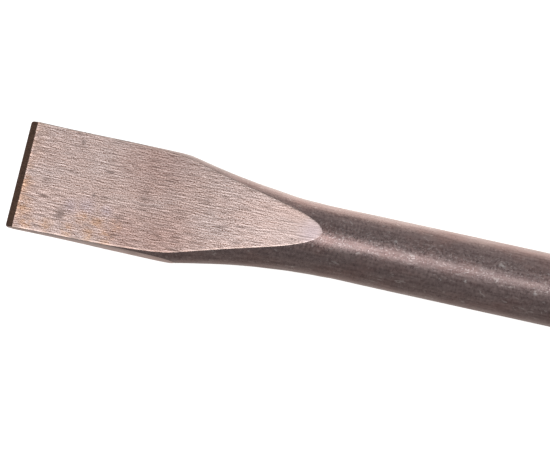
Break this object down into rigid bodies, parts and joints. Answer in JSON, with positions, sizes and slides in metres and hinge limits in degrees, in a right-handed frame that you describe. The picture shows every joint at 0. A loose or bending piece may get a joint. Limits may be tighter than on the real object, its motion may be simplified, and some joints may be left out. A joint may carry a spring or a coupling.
{
  "type": "flat cold chisel with hand guard",
  "caption": "Flat cold chisel forged from round bar, with hollow-ground faces, a tapered struck head and a ribbed hand guard that slides on the shank.",
  "frame": {"origin": "middle of the cutting edge, on the bar's axis", "axes": "+X along the bar from the cutting edge to the struck head, +Y along the cutting edge, +Z square to the ground faces"},
  "size_m": [0.3, 0.066, 0.062],
  "materials": {
    "forged_steel": "ground faces with lengthwise scratches, dark forged skin on the shank",
    "hard_plastic": "fine moulded texture",
    "grip_rubber": "soft matt, ribbed",
    "rim_rubber": "soft matt"
  },
  "bodies": {
    "chisel": {"chisel": "forged_steel"},
    "guard": {"guard_core": "hard_plastic", "guard_grip": "grip_rubber", "guard_rim": "rim_rubber"}
  },
  "joints": [
    {"name": "guard_slide", "type": "slide", "parent": "chisel", "child": "guard", "axis": [1, 0, 0], "range_m": [-0.084, 0.145]}
  ]
}
